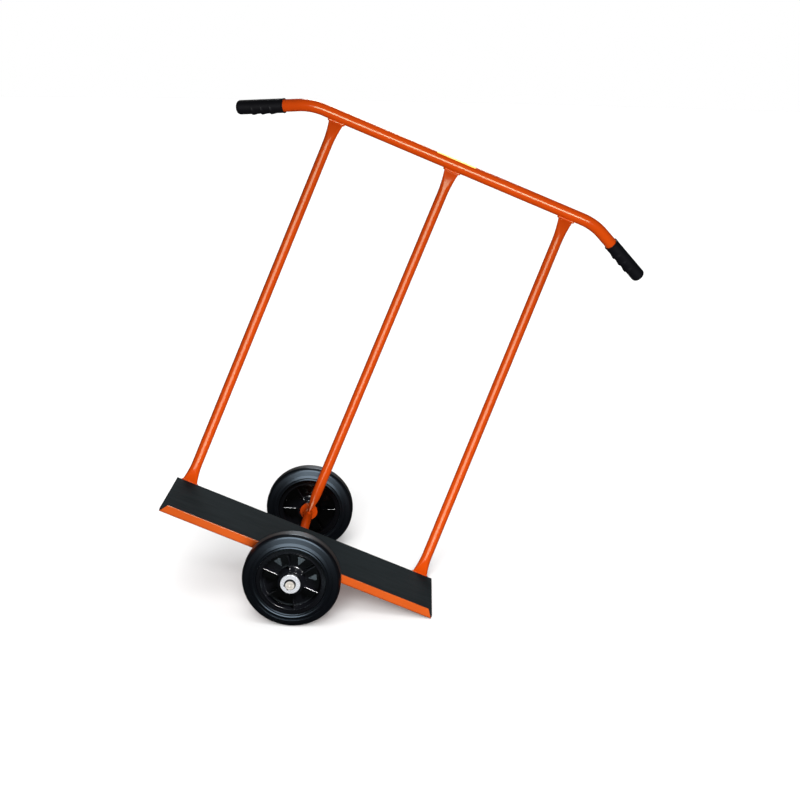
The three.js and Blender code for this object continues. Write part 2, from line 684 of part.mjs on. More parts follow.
// Tipped about the axle until the right end of the deck is level with the tyres' lowest line
const halfDeck = DECK_LENGTH / 2;
const deckReach = Math.hypot(halfDeck, PLATE_UNDER);
frame.rotation.y = Math.asin(WHEEL_R / deckReach) + Math.atan2(PLATE_UNDER, halfDeck);
root.add(frame);

// The origin is under the middle of the whole cart, on the floor
const box = new THREE.Box3().setFromObject(root, true);
frame.position.set(-(box.min.x + box.max.x) / 2, -(box.min.y + box.max.y) / 2, WHEEL_R);

export default root;
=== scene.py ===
import json
import math

import bmesh
import bpy
from mathutils import Matrix, Vector, noise


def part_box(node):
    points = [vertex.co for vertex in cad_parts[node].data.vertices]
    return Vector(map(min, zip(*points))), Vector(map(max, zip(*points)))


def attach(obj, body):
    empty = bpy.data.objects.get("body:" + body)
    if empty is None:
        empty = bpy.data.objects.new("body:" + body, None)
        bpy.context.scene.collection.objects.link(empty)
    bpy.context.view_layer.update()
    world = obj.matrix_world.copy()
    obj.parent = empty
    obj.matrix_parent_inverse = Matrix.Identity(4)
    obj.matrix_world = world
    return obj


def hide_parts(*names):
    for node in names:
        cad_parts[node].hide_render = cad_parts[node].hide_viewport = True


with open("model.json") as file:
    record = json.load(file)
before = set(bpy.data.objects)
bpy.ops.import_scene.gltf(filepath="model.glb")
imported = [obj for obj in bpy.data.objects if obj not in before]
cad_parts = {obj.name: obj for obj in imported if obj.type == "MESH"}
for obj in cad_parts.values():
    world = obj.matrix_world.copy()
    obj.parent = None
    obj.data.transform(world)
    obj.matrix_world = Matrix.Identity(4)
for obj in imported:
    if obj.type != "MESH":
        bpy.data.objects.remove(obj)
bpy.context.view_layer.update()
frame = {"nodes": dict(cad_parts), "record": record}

# Sizes are in millimetres, drawn level: X along the deck, Y along the axle, Z up from the axle.
MM = 0.001
SEAT_GAP = 0.3

# The cart's two ends, and the direction of each along X
SIDES = (("left", -1), ("right", 1))

# Tyres. A shoulder corner is a radius, a distance from the tyre's middle and a rounding.
WHEEL_TRACK = 488
WHEEL_R = 125
TYRE_WIDTH = 50
TREAD_HALF = 12.5
TREAD_ROUND = 6
SHOULDER = ((120.8, 20.3, 1.2), (117.8, 22.2, 1.5))
GROOVE_R = 105.5
GROOVE_DEPTH = 2.8
GROOVE_STEP = 0.6
GROOVE_ROUND = 0.25
BULGE_R = 97
BULGE_ROUND = 2
BEAD_GROOVE_R = 94.2
BEAD_GROOVE_DEPTH = 1.4
BEAD_GROOVE_ROUND = 0.4
BEAD_TOP_R = 92
BEAD_TOP_ROUND = 0.7
TYRE_BEAD = 1.5
TYRE_BEAD_ROUND = 1
TYRE_SEAT_ROUND = 0.4
DUST_HALF_WIDTH = 8
DUST_FADE = 2
DUST_LEAST_R = 120

# Wheel centres
RIM_R = 88.5
RIM_WIDTH = 42
RIM_DEPTH = 13
RIM_FLANGE = 4
RIM_CHANNEL = 3.5
RIM_EDGE = 1
RIM_BEAD = 1
RIM_BEAD_WIDTH = 4
RIM_BEAD_ROUND = 1.2
RIM_INNER_EDGE = 0.8
RIM_ROOT = 3
WEB_THICKNESS = 10
WEB_ROUND = 3
HUB_R = 32
HUB_WIDTH = 63
HUB_ROOT = 3
HUB_EDGE = 0.5
HUB_BORE_R = 23.1
RIB_COUNT = 6
RIB_THICKNESS = 4
RIB_WIDTH = 37
RIB_ROOT = 3
RIB_FLARE = 8
RIB_EDGE = 1.3
RECESS_START = 40
RECESS_LENGTH = 24
RECESS_WIDTH = 22
RECESS_STEP = 0.5
RECESS_SLOPE = math.radians(8)
RECESS_TIP_ROUND = 1.5
RECESS_CORNER_ROUND = 2.5
FRONT_WHEEL_TURN = math.radians(3)
REAR_WHEEL_TURN = math.radians(-21)

# Axle and what holds the wheels on it
AXLE_R = 12.5
AXLE_HALF = 287.1
AXLE_CHAMFER = 1
BARE_END_R = 11.25
CENTRE_DRILL_R = 3
CENTRE_DRILL_DEPTH = 3
HUB_STOP = 32
COLLAR_R = 25
COLLAR_THICKNESS = 5
WASHER_R = 25
WASHER_THICKNESS = 4
DISC_EDGE = 0.7
DISC_BORE_EDGE = 0.3
CIRCLIP_FACE = 36.3
CIRCLIP_THICKNESS = 1.5
CIRCLIP_INNER_R = 11.8
CIRCLIP_WIDTH = 2.6
CIRCLIP_LEAST_WIDTH = 0.05
CIRCLIP_OPENING = math.radians(50)
CIRCLIP_TURN = math.radians(151)
CIRCLIP_EAR_R = 2.5
CIRCLIP_HOLE_R = 1
CIRCLIP_HOLE_START = -1
CIRCLIP_HOLE_END = 3
CIRCLIP_EDGE = 0.25
CIRCLIP_EDGE_ANGLE = math.radians(50)
CLIP_GROOVE_R = 11.5
CLIP_GROOVE_WIDTH = 2.1

# Deck
DECK_LENGTH = 753
LIP_Y = -196
PLATE_REAR = 45
PLATE_UNDER = 12.8
PLATE_THICKNESS = 4
PLATE_BEND = 4
LIP_HEIGHT = 25
LIP_MITRE = 17
PLATE_EDGE = 0.7
MAT_THICKNESS = 3
MAT_EDGE = 0.8

# Tubes and handlebar
UPRIGHT_SPREAD = 682
UPRIGHT_LEAN = math.radians(15)
HANDLE_ABOVE_PLATE = 1040
TUBE_DIAMETER = 28
PRESSED_THICKNESS = 5
PRESSED_LAND = 4
FOOT_PRESS_LENGTH = 58
HEAD_PRESS_LENGTH = 70
STRUT_CLEARANCE = 1.5
BAR_R = 16.85
BAR_BEND_START = 383
BAR_BEND_RADIUS = 136
BAR_BEND = math.radians(30)
BAR_BEND_TURN = math.radians(35)
BAR_BARE_END = 44

# Grips
GRIP_LENGTH = 142
GRIP_R = 19.5
GRIP_END_WALL = 7
GRIP_END_ROUND = 10
GRIP_MOUTH_BEAD = 0.8
GRIP_MOUTH_LENGTH = 4
GRIP_MOUTH_EDGE = 0.5
RIDGE_COUNT = 3
RIDGE_START = 39
RIDGE_PITCH = 27.5
RIDGE_SLOPE_LENGTH = 15
RIDGE_CREST = 2
RIDGE_DROP_LENGTH = 4
RIDGE_RISE = 2.6

# Blank strip on the bar: its ends along the bar, and its edges as angles up from the front
STRIP_LEFT = -57
STRIP_RIGHT = 57
STRIP_FRONT = math.radians(53)
STRIP_BACK = math.radians(150)
STRIP_THICKNESS = 0.25

# Weld runs. Each pair is where a run under the deck starts and ends along the axle.
WELD_PITCH = 3.6
WELD_RIPPLE = 0.09
WELD_UNEVENNESS = 0.10
WELD_UNEVEN_SCALE = 0.12
WELD_END_SHARE = 0.35
FOOT_WELD_R = 2.5
HEAD_WELD_R = 3.0
COLLAR_WELD_R = 2.2
AXLE_WELD_R = 2.4
AXLE_WELD_X = 8.25
AXLE_WELD_DROP = 1.44
AXLE_WELDS = ((-175, -130), (-97, -52), (-20, 25))

# Fineness of the meshes
WHEEL_SIDES = 128
DISC_SIDES = 72
TUBE_SIDES = 48
HOLE_SIDES = 24
CIRCLIP_STEPS = 120
PRESS_STEPS = 20
BEND_STEPS = 20
STRIP_STEPS = 24
GRIP_END_STEPS = 12
ROUND_STEPS = 6
EDGE_STEPS = 2
FINE_EDGE_STEPS = 3
EDGE_ANGLE = math.radians(40)
WELD_SIDES = 10
WELD_STEP = 0.6
WELD_LEAST_STEPS = 8
WELD_CIRCLE_STEPS = 180
WELD_END_STEPS = 24
SMOOTH_ANGLE = math.radians(35)
MERGE_DISTANCE = 0.0001
SLIVER = 0.001

# Noise in the materials, and how rough the tread's dust is
NOISE_DETAIL = 3.0
NOISE_ROUGHNESS = 0.55
DRIFT_START = 0.3
DRIFT_END = 0.7
DUST_ROUGHNESS = 0.5

# Floor, its radius in metres, and how bright the world is to the camera, as light and in reflections
FLOOR_R = 30
FLOOR_SIDES = 96
FLOOR_COLOUR = (0.80, 0.80, 0.80)
FLOOR_SHADE = 0.98
WORLD_SEEN = 1
WORLD_LIGHT = 0.2
WORLD_GLINT = 0.03

# Soft lights: place and size in metres, power in watts.
# The places of top_glint and side_glint are measured from the front wheel.
SOFTBOXES = {
    "key": ((0.65, -3.1, 1.3), (1.7, 2.2), 112),
    "low": ((0.3, -2.3, 0.35), (1.4, 0.5), 24),
    "tube_key": ((0.0, -1.9, 0.4), (1.6, 0.5), 63),
    "tube_glint": ((-0.2, -3.1, 1.45), (3.0, 3.0), 192),
    "glint": ((0.2, -3.1, 1.3), (3.2, 0.9), 160),
    "tyre_top": ((0.0, -2.6, 1.9), (3.0, 3.0), 250),
    "front_flash": ((0.95, -1.37, 2.28), (0.7, 0.7), 400),
    "rear_flash": ((-0.56, -0.76, 2.63), (0.7, 0.7), 250),
    "top_glint": ((-0.072, -0.605, -0.049), (0.32, 0.06), 0.34),
    "side_glint": ((0.106, -0.255, -0.104), (0.035, 0.03), 0.022),
    "back": ((0.2, 2.9, 3.2), (2.0, 1.6), 110),
    "tube_back": ((0.2, 2.4, 0.8), (1.6, 1.2), 22),
}
LIGHT_TARGET = Vector((0, 0, 0.5))
GLINT_COLOUR = (0.72, 0.9, 1)

# Suns on the floor: angle up from the front, strength and softness
SUNS = {
    "high_sun": (math.radians(60), 1.85, math.radians(40)),
    "low_sun": (math.radians(24), 4.6, math.radians(40)),
    "back_sun": (math.radians(120), 0.75, math.radians(60)),
}

# Camera: its place in metres from the axle's middle, its lens and sensor in millimetres
CAMERA_FROM_AXLE = Vector((0.2995, -2.9754, 1.2874))
CAMERA_HEADING = math.radians(2.444)
CAMERA_DOWN = math.radians(16.446)
CAMERA_ROLL = math.radians(1.064)
CAMERA_LENS = 53.387
CAMERA_SENSOR = 36
CAMERA_SHIFT = (0.0407, -0.0025)

# Worked out from the sizes above and from the frame
PLATE_TOP = PLATE_UNDER + PLATE_THICKNESS
FOOT_DEPTH = PRESSED_THICKNESS / math.cos(UPRIGHT_LEAN)
UPRIGHT_FOOT_Y = PLATE_REAR - FOOT_DEPTH / 2
FOOT_Z = PLATE_TOP + SEAT_GAP
BAR_CENTRE = Vector((
    0,
    UPRIGHT_FOOT_Y + HANDLE_ABOVE_PLATE * math.tan(UPRIGHT_LEAN),
    FOOT_Z + HANDLE_ABOVE_PLATE,
))
BEND_WAY = Vector((0, math.sin(BAR_BEND_TURN), -math.cos(BAR_BEND_TURN)))
BAR_END = BAR_BARE_END + GRIP_LENGTH - GRIP_END_WALL - SEAT_GAP
COLLAR_FACE = WHEEL_TRACK / 2 - HUB_STOP - COLLAR_THICKNESS
CIRCLIP_OPENING_TURN = -CIRCLIP_TURN - math.pi / 2
PRESSED_FLAT = math.pi * (TUBE_DIAMETER - PRESSED_THICKNESS) / 2
PRESSED_WIDTH = PRESSED_THICKNESS + PRESSED_FLAT
STRUT_FOOT_Y = COLLAR_FACE - STRUT_CLEARANCE - PRESSED_WIDTH / 2

deck_mount = next(mount for mount in frame["record"]["mounts"] if mount["name"] == "deck")
TILT = math.atan2(deck_mount["axis"][0], deck_mount["axis"][2])
axle_low, axle_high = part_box("axle")
AXLE = (axle_low + axle_high) / 2
LEVEL = Matrix.Translation(AXLE) @ Matrix.Rotation(TILT, 4, "Y")


# Mesh building

def shell(points, faces):
    """A closed mesh from points in millimetres, its faces turned outwards."""
    mesh = bmesh.new()
    corners = [mesh.verts.new(Vector(point) * MM) for point in points]
    for face in faces:
        mesh.faces.new([corners[i] for i in face])
    bmesh.ops.remove_doubles(mesh, verts=mesh.verts, dist=MERGE_DISTANCE * MM)
    bmesh.ops.recalc_face_normals(mesh, faces=mesh.faces)
    return mesh


def grid_faces(row_count, column_count, close_rows, close_columns):
    """The faces between rows of points, as the points' numbers."""
    faces = []
    for i in range(row_count if close_rows else row_count - 1):
        here = i * column_count
        there = (i + 1) % row_count * column_count
        for j in range(column_count if close_columns else column_count - 1):
            k = (j + 1) % column_count
            faces.append((here + j, here + k, there + k, there + j))
    return faces


def lofted(rings):
    """A solid through rings of points, closed flat at both ends."""
    count = len(rings[0])
    points = [point for ring in rings for point in ring]
    faces = grid_faces(len(rings), count, False, True)
    faces.append(tuple(range(count)))
    faces.append(tuple(range(len(points) - count, len(points))))
    return shell(points, faces)


def looped(rings):
    """A solid through rings of points, the last joined to the first."""
    points = [point for ring in rings for point in ring]
    return shell(points, grid_faces(len(rings), len(rings[0]), True, True))


def turned(profile, sides, closed=True):
    """A body of revolution about Y from (radius, height) points."""
    rows = []
    for k in range(sides):
        angle = 2 * math.pi * k / sides
        rows += [(r * math.sin(angle), y, r * math.cos(angle)) for r, y in profile]
    return shell(rows, grid_faces(sides, len(profile), True, closed))


def rounded(corners):
    """A closed outline of (x, y, radius) corners, each rounded by its radius."""
    outline = []
    for i, (x, y, radius) in enumerate(corners):
        corner = Vector((x, y))
        if radius == 0:
            outline.append(corner)
            continue
        back = (Vector(corners[i - 1][:2]) - corner).normalized()
        on = (Vector(corners[(i + 1) % len(corners)][:2]) - corner).normalized()
        half = back.angle(on) / 2
        centre = corner + (back + on).normalized() * radius / math.sin(half)
        start = corner + back * radius / math.tan(half) - centre
        end = corner + on * radius / math.tan(half) - centre
        shares = [k / ROUND_STEPS for k in range(ROUND_STEPS + 1)]
        outline += [centre + radius * start.slerp(end, share) for share in shares]
    return outline


def mirrored_outline(half):
    """An outline from half of it: (radius, height, rounding) corners, and the same below."""
    return rounded([*((r, -y, rounding) for r, y, rounding in reversed(half)), *half])


def extruded(outline, depth, place):
    """A flat outline pulled to a depth along its own Z, then placed."""
    rings = [[place @ Vector((x, y, z)) for x, y in outline] for z in (0, depth)]
    return lofted(rings)


def softened(mesh, width, segments=EDGE_STEPS, least_angle=EDGE_ANGLE):
    """The mesh with its sharp edges rounded."""
    edges = [edge for edge in mesh.edges if edge.calc_face_angle(0) > least_angle]
    bmesh.ops.bevel(
        mesh,
        geom=edges,
        offset=width * MM,
        segments=segments,
        profile=0.5,
        affect="EDGES",
        clamp_overlap=True,
    )
    return mesh


def loose_object(mesh):
    """A passing object for a mesh that is to be cut or joined."""
    data = bpy.data.meshes.new("loose")
    mesh.to_mesh(data)
    mesh.free()
    thing = bpy.data.objects.new("loose", data)
    bpy.context.scene.collection.objects.link(thing)
    return thing


def combined(base, tools):
    """The base mesh after each (operation, mesh) of a list of cuts and joins."""
    target = loose_object(base)
    things = [target]
    for operation, mesh in tools:
        tool = loose_object(mesh)
        things.append(tool)
        step = target.modifiers.new(operation, "BOOLEAN")
        step.operation = operation
        step.solver = "EXACT"
        step.object = tool
    bpy.context.view_layer.update()
    result = bmesh.new()
    result.from_object(target, bpy.context.evaluated_depsgraph_get())
    for thing in things:
        bpy.data.meshes.remove(thing.data)
    bmesh.ops.dissolve_degenerate(result, edges=result.edges, dist=SLIVER * MM)
    return result


def add_piece(name, mesh, material, body, place=LEVEL, stands_for=None):
    """A finished piece of the cart, riding on a body of the frame. Its turn is put into its mesh."""
    data = bpy.data.meshes.new(name)
    mesh.transform(place.to_3x3().to_4x4())
    mesh.to_mesh(data)
    mesh.free()
    data.shade_smooth()
    data.set_sharp_from_angle(angle=SMOOTH_ANGLE)
    data.materials.append(material)
    piece = bpy.data.objects.new(name, data)
    bpy.context.scene.collection.objects.link(piece)
    piece.location = place.translation
    normals = piece.modifiers.new("normals", "WEIGHTED_NORMAL")
    normals.keep_sharp = True
    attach(piece, body)
    if stands_for:
        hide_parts(stands_for)
    return piece


def add_painted(name, mesh, stands_for=None, place=LEVEL):
    """A piece of the welded frame, in its orange coat."""
    return add_piece(name, mesh, ORANGE, "frame", place, stands_for)


# Materials

def noise_node(nodes, links, scale, stretch=(1, 1, 1)):
    """Noise that stays with the object, drawn out by a stretch."""
    coordinates = nodes.new("ShaderNodeTexCoord")
    stretched = nodes.new("ShaderNodeVectorMath")
    stretched.operation = "MULTIPLY"
    stretched.inputs[1].default_value = stretch
    texture = nodes.new("ShaderNodeTexNoise")
    texture.inputs["Scale"].default_value = scale
    texture.inputs["Detail"].default_value = NOISE_DETAIL
    texture.inputs["Roughness"].default_value = NOISE_ROUGHNESS
    links.new(coordinates.outputs["Object"], stretched.inputs[0])
    links.new(stretched.outputs["Vector"], texture.inputs["Vector"])
    return texture


def spread(nodes, links, value, low, high, to):
    """A value from 0 to 1 spread over a range and sent to a socket."""
    reach = nodes.new("ShaderNodeMapRange")
    reach.inputs["To Min"].default_value = low
    reach.inputs["To Max"].default_value = high
    links.new(value, reach.inputs["Value"])
    links.new(reach.outputs["Result"], to)


def surface(name, dark, light, gloss, grain, drift=9.0, stretch=(1, 1, 1), **sockets):
    """A material whose colour and gloss drift a little, over a fine grain.

    gloss is the range of roughness. grain is the grain's scale, height in metres and strength.
    drift is the scale of the colour's drift, and stretch draws it out into streaks.
    """
    material = bpy.data.materials.new(name)
    material.use_nodes = True
    nodes = material.node_tree.nodes
    links = material.node_tree.links
    shader = nodes["Principled BSDF"]
    for socket, value in sockets.items():
        shader.inputs[socket.replace("_", " ")].default_value = value
    drifting = noise_node(nodes, links, drift, stretch)
    ramp = nodes.new("ShaderNodeValToRGB")
    ramp.color_ramp.elements[0].position = DRIFT_START
    ramp.color_ramp.elements[0].color = (*dark, 1)
    ramp.color_ramp.elements[1].position = DRIFT_END
    ramp.color_ramp.elements[1].color = (*light, 1)
    links.new(drifting.outputs["Fac"], ramp.inputs["Fac"])
    links.new(ramp.outputs["Color"], shader.inputs["Base Color"])
    scale, height, strength = grain
    grains = noise_node(nodes, links, scale)
    spread(nodes, links, grains.outputs["Fac"], *gloss, shader.inputs["Roughness"])
    bump = nodes.new("ShaderNodeBump")
    bump.inputs["Strength"].default_value = strength
    bump.inputs["Distance"].default_value = height
    links.new(grains.outputs["Fac"], bump.inputs["Height"])
    links.new(bump.outputs["Normal"], shader.inputs["Normal"])
    return material


def powder_coat(name, dark, light):
    """The frame's glossy orange coat."""
    return surface(
        name,
        dark,
        light,
        gloss=(0.16, 0.21),
        grain=(260.0, 0.0004, 0.05),
        Specular_IOR_Level=0.5,
        Specular_Tint=(0.55, 0.94, 0.66, 1),
    )


def tread_share(nodes, links):
    """A value that is 1 round the middle of a tread and fades to 0 beside it."""
    coordinates = nodes.new("ShaderNodeTexCoord")
    flat = nodes.new("ShaderNodeVectorMath")
    flat.operation = "MULTIPLY"
    flat.inputs[1].default_value = (1, 0, 1)
    reach = nodes.new("ShaderNodeVectorMath")
    reach.operation = "LENGTH"
    beyond = nodes.new("ShaderNodeMath")
    beyond.operation = "GREATER_THAN"
    beyond.inputs[1].default_value = DUST_LEAST_R * MM
    parts = nodes.new("ShaderNodeSeparateXYZ")
    aside = nodes.new("ShaderNodeMath")
    aside.operation = "ABSOLUTE"
    share = nodes.new("ShaderNodeMapRange")
    share.inputs["From Min"].default_value = (DUST_HALF_WIDTH + DUST_FADE) * MM
    share.inputs["From Max"].default_value = (DUST_HALF_WIDTH - DUST_FADE) * MM
    links.new(coordinates.outputs["Object"], flat.inputs[0])
    links.new(flat.outputs["Vector"], reach.inputs[0])
    links.new(reach.outputs["Value"], beyond.inputs[0])
    links.new(beyond.outputs["Value"], share.inputs["To Max"])
    links.new(coordinates.outputs["Object"], parts.inputs["Vector"])
    links.new(parts.outputs["Y"], aside.inputs[0])
    links.new(aside.outputs["Value"], share.inputs["Value"])
    return share.outputs["Result"]


def dusted_tread(material, colour):
    """The material with road dust round the middle of the tread."""
    nodes = material.node_tree.nodes
    links = material.node_tree.links
    shader = nodes["Principled BSDF"]
    share = tread_share(nodes, links)
    # A mix node's two inputs and its output, by the kind of value it mixes
    mix_sockets = {"RGBA": (6, 7, 2), "FLOAT": (2, 3, 0)}
    for socket, kind, worn in (("Base Color", "RGBA", colour), ("Roughness", "FLOAT", DUST_ROUGHNESS)):
        mix = nodes.new("ShaderNodeMix")
        mix.data_type = kind
        first, second, result = mix_sockets[kind]
        fresh = shader.inputs[socket].links[0].from_socket
        links.new(share, mix.inputs[0])
        links.new(fresh, mix.inputs[first])
        mix.inputs[second].default_value = worn
        links.new(mix.outputs[result], shader.inputs[socket])
    return material


ORANGE = powder_coat(
    "orange_powder_coat",
    dark=(0.52, 0.050, 0.0015),
    light=(0.57, 0.058, 0.0020),
)
# A paler copy of the frame's orange for the deck: a painted sheen that stands for the floor's reflection
# in the flat sheet.
ORANGE_PAINTED_SHEEN = powder_coat(
    "orange_coat_with_painted_sheen",
    dark=(0.50, 0.078, 0.0105),
    light=(0.55, 0.090, 0.0125),
)
MAT_RUBBER = surface(
    "mat_rubber",
    dark=(0.0056, 0.0105, 0.0125),
    light=(0.0100, 0.0155, 0.0180),
    gloss=(0.75, 0.92),
    grain=(900.0, 0.0006, 0.5),
    drift=70.0,
    stretch=(0.15, 1, 0.15),
    Specular_IOR_Level=0.12,
)
CLEAN_RUBBER = surface(
    "tyre_rubber",
    dark=(0.0007, 0.0008, 0.0012),
    light=(0.0014, 0.0016, 0.0022),
    gloss=(0.26, 0.34),
    grain=(420.0, 0.0004, 0.12),
    Specular_IOR_Level=0.5,
    Specular_Tint=(0.64, 0.82, 1, 1),
)
TYRE_RUBBER = dusted_tread(CLEAN_RUBBER, colour=(0.020, 0.0165, 0.0140, 1))
WHEEL_PLASTIC = surface(
    "wheel_plastic",
    dark=(0.0010, 0.0011, 0.0016),
    light=(0.0018, 0.0019, 0.0027),
    gloss=(0.18, 0.24),
    grain=(380.0, 0.0004, 0.03),
    Specular_IOR_Level=0.5,
)
GRIP_VINYL = surface(
    "grip_vinyl",
    dark=(0.0025, 0.0025, 0.0038),
    light=(0.0042, 0.0042, 0.0060),
    gloss=(0.36, 0.46),
    grain=(700.0, 0.0005, 0.15),
    Specular_IOR_Level=0.3,
)
ZINC = surface(
    "bright_zinc",
    dark=(0.72, 0.74, 0.78),
    light=(0.86, 0.88, 0.92),
    gloss=(0.22, 0.34),
    grain=(500.0, 0.0003, 0.10),
    drift=60.0,
    Metallic=0.45,
)
BARE_STEEL = surface(
    "turned_steel",
    dark=(0.46, 0.42, 0.37),
    light=(0.78, 0.74, 0.68),
    gloss=(0.28, 0.40),
    grain=(650.0, 0.0003, 0.12),
    drift=160.0,
    Metallic=0.3,
)
SPRING_STEEL = surface(
    "spring_steel",
    dark=(0.020, 0.020, 0.023),
    light=(0.034, 0.034, 0.038),
    gloss=(0.34, 0.46),
    grain=(600.0, 0.0003, 0.10),
    Metallic=0.85,
)
BEARING_STEEL = surface(
    "bearing_steel",
    dark=(0.50, 0.52, 0.55),
    light=(0.60, 0.62, 0.65),
    gloss=(0.16, 0.24),
    grain=(800.0, 0.0002, 0.06),
    Metallic=1.0,
)
CAGE_PLASTIC = surface(
    "cage_plastic",
    dark=(0.62, 0.60, 0.50),
    light=(0.74, 0.72, 0.62),
    gloss=(0.45, 0.58),
    grain=(500.0, 0.0003, 0.10),
)
YELLOW_FILM = surface(
    "yellow_film",
    dark=(0.58, 0.43, 0.085),
    light=(0.66, 0.50, 0.110),
    gloss=(0.30, 0.38),
    grain=(300.0, 0.0003, 0.06),
)


# Welds

def circle_path(radius):
    """A circle about Y."""
    angles = [2 * math.pi * k / WELD_CIRCLE_STEPS for k in range(WELD_CIRCLE_STEPS)]
    return [Vector((radius * math.sin(a), 0, radius * math.cos(a))) for a in angles]


def stadium_path(centre, long_way, short_way, flat, radius):
    """A loop of two straights and two half rounds about a centre."""
    path = []
    for end in (1, -1):
        for k in range(WELD_END_STEPS + 1):
            angle = math.pi * (k / WELD_END_STEPS - 0.5) + (0 if end > 0 else math.pi)
            along = end * flat / 2 + radius * math.cos(angle)
            path.append(centre + along * long_way + radius * math.sin(angle) * short_way)
    return path


def resampled(path, closed):
    """Points at equal steps along a path, each with its distance from the start, and the path's length."""
    corners = path + [path[0]] if closed else path
    lengths = [(b - a).length for a, b in zip(corners, corners[1:])]
    total = sum(lengths)
    count = max(WELD_LEAST_STEPS, round(total / WELD_STEP))
    points = []
    leg = 0
    passed = 0.0
    for k in range(count if closed else count + 1):
        along = total * k / count
        while leg < len(lengths) - 1 and along > passed + lengths[leg]:
            passed += lengths[leg]
            leg += 1
        share = (along - passed) / lengths[leg] if lengths[leg] else 0
        points.append((corners[leg].lerp(corners[leg + 1], share), along))
    return points, total


def bead_mesh(path, closed, radius):
    """A weld run along a path, in overlapping ripples."""
    points, total = resampled(path, closed)
    ripples = max(2, round(total / WELD_PITCH))
    angles = [2 * math.pi * k / WELD_SIDES for k in range(WELD_SIDES)]
    rings = []
    across = None
    for i, (point, along) in enumerate(points):
        before = points[i - 1][0] if closed or i else point
        after = points[(i + 1) % len(points)][0] if closed or i < len(points) - 1 else point
        heading = (after - before).normalized()
        if across is None:
            across = heading.orthogonal()
        else:
            across = across - heading * across.dot(heading)
        across.normalize()
        other = heading.cross(across)
        phase = along / total * ripples % 1.0
        size = radius * (1 - WELD_RIPPLE * (1 - math.sin(math.pi * phase)))
        size *= 1 + WELD_UNEVENNESS * noise.noise(point * WELD_UNEVEN_SCALE)
        if not closed:
            size *= min(1, WELD_END_SHARE + min(along, total - along) / (2 * radius))
        rings.append([point + size * (math.cos(a) * across + math.sin(a) * other) for a in angles])
    return looped(rings) if closed else lofted(rings)


# Wheels

def tyre_mesh():
    """A solid tyre: tread, shoulder edge, stepped sidewall and bead, seated on the rim."""
    half = TYRE_WIDTH / 2
    seat_r = RIM_R + SEAT_GAP
    bead_r = seat_r + TYRE_BEAD
    flange_inner = RIM_WIDTH / 2 - RIM_FLANGE
    return turned(mirrored_outline([
        (WHEEL_R, TREAD_HALF, TREAD_ROUND),
        *SHOULDER,
        (GROOVE_R + GROOVE_STEP, half, GROOVE_ROUND),
        (GROOVE_R, half - GROOVE_DEPTH, GROOVE_ROUND),
        (BULGE_R, half, BULGE_ROUND),
        (BEAD_GROOVE_R, half - BEAD_GROOVE_DEPTH, BEAD_GROOVE_ROUND),
        (BEAD_TOP_R, half, BEAD_TOP_ROUND),
        (bead_r, half, TYRE_BEAD_ROUND),
        (seat_r, half - TYRE_BEAD, TYRE_SEAT_ROUND),
        (seat_r, flange_inner, 0),
        (seat_r - RIM_CHANNEL, flange_inner - RIM_CHANNEL, 0),
    ]), WHEEL_SIDES)


def rib_mesh(turn):
    """A radial rib that flares up the hub on both faces."""
    half = RIB_WIDTH / 2
    flared = half + RIB_FLARE
    start = HUB_R - RIB_ROOT
    end = RIM_R - RIM_DEPTH + RIB_ROOT
    outline = rounded([
        (start, -flared, 0),
        (HUB_R, -flared, 0),
        (HUB_R, -half, RIB_FLARE),
        (end, -half, 0),
        (end, half, 0),
        (HUB_R, half, RIB_FLARE),
        (HUB_R, flared, 0),
        (start, flared, 0),
    ])
    middle = Matrix.Translation((0, 0, -RIB_THICKNESS / 2))
    rib = extruded(outline, RIB_THICKNESS, Matrix.Rotation(turn, 4, "Y") @ middle)
    return softened(rib, RIB_EDGE, FINE_EDGE_STEPS)


def recess_mesh(turn, face):
    """What is cut from the web between two ribs: a wedge that is deepest towards the rim."""
    wedge = rounded([
        (0, 0, RECESS_TIP_ROUND),
        (RECESS_LENGTH, -RECESS_WIDTH / 2, RECESS_CORNER_ROUND),
        (RECESS_LENGTH, RECESS_WIDTH / 2, RECESS_CORNER_ROUND),
    ])
    upright = Matrix.Rotation(-math.pi / 2, 4, "X")
    sloped = Matrix.Rotation(-RECESS_SLOPE, 4, "Z") @ upright
    placed = Matrix.Translation((RECESS_START, WEB_THICKNESS / 2 - RECESS_STEP, 0)) @ sloped
    side = Matrix.Rotation(0 if face > 0 else math.pi, 4, "X")
    return extruded(wedge, WEB_THICKNESS, Matrix.Rotation(turn, 4, "Y") @ side @ placed)


def wheel_centre_mesh():
    """A moulded wheel centre: hub, web and rim turned as one, with ribs and shallow recesses."""
    rim_inner = RIM_R - RIM_DEPTH
    half_rim = RIM_WIDTH / 2
    flange_inner = half_rim - RIM_FLANGE
    centre = turned(mirrored_outline([
        (RIM_R - RIM_CHANNEL, flange_inner - RIM_CHANNEL, 0),
        (RIM_R, flange_inner, 0),
        (RIM_R, half_rim, RIM_EDGE),
        (rim_inner + RIM_BEAD_WIDTH, half_rim, RIM_BEAD_ROUND),
        (rim_inner + RIM_BEAD_WIDTH / 2, half_rim + RIM_BEAD, RIM_BEAD_ROUND),
        (rim_inner, half_rim, RIM_INNER_EDGE),
        (rim_inner - RIM_ROOT, WEB_THICKNESS / 2, WEB_ROUND),
        (HUB_R + HUB_ROOT, WEB_THICKNESS / 2, WEB_ROUND),
        (HUB_R, HUB_WIDTH / 2, HUB_EDGE),
        (HUB_BORE_R, HUB_WIDTH / 2, HUB_EDGE),
    ]), WHEEL_SIDES)
    step = 2 * math.pi / RIB_COUNT
    ribs = [("UNION", rib_mesh(i * step)) for i in range(RIB_COUNT)]
    recesses = [
        ("DIFFERENCE", recess_mesh((i + 0.5) * step, face))
        for i in range(RIB_COUNT)
        for face in (1, -1)
    ]
    return combined(centre, ribs + recesses)


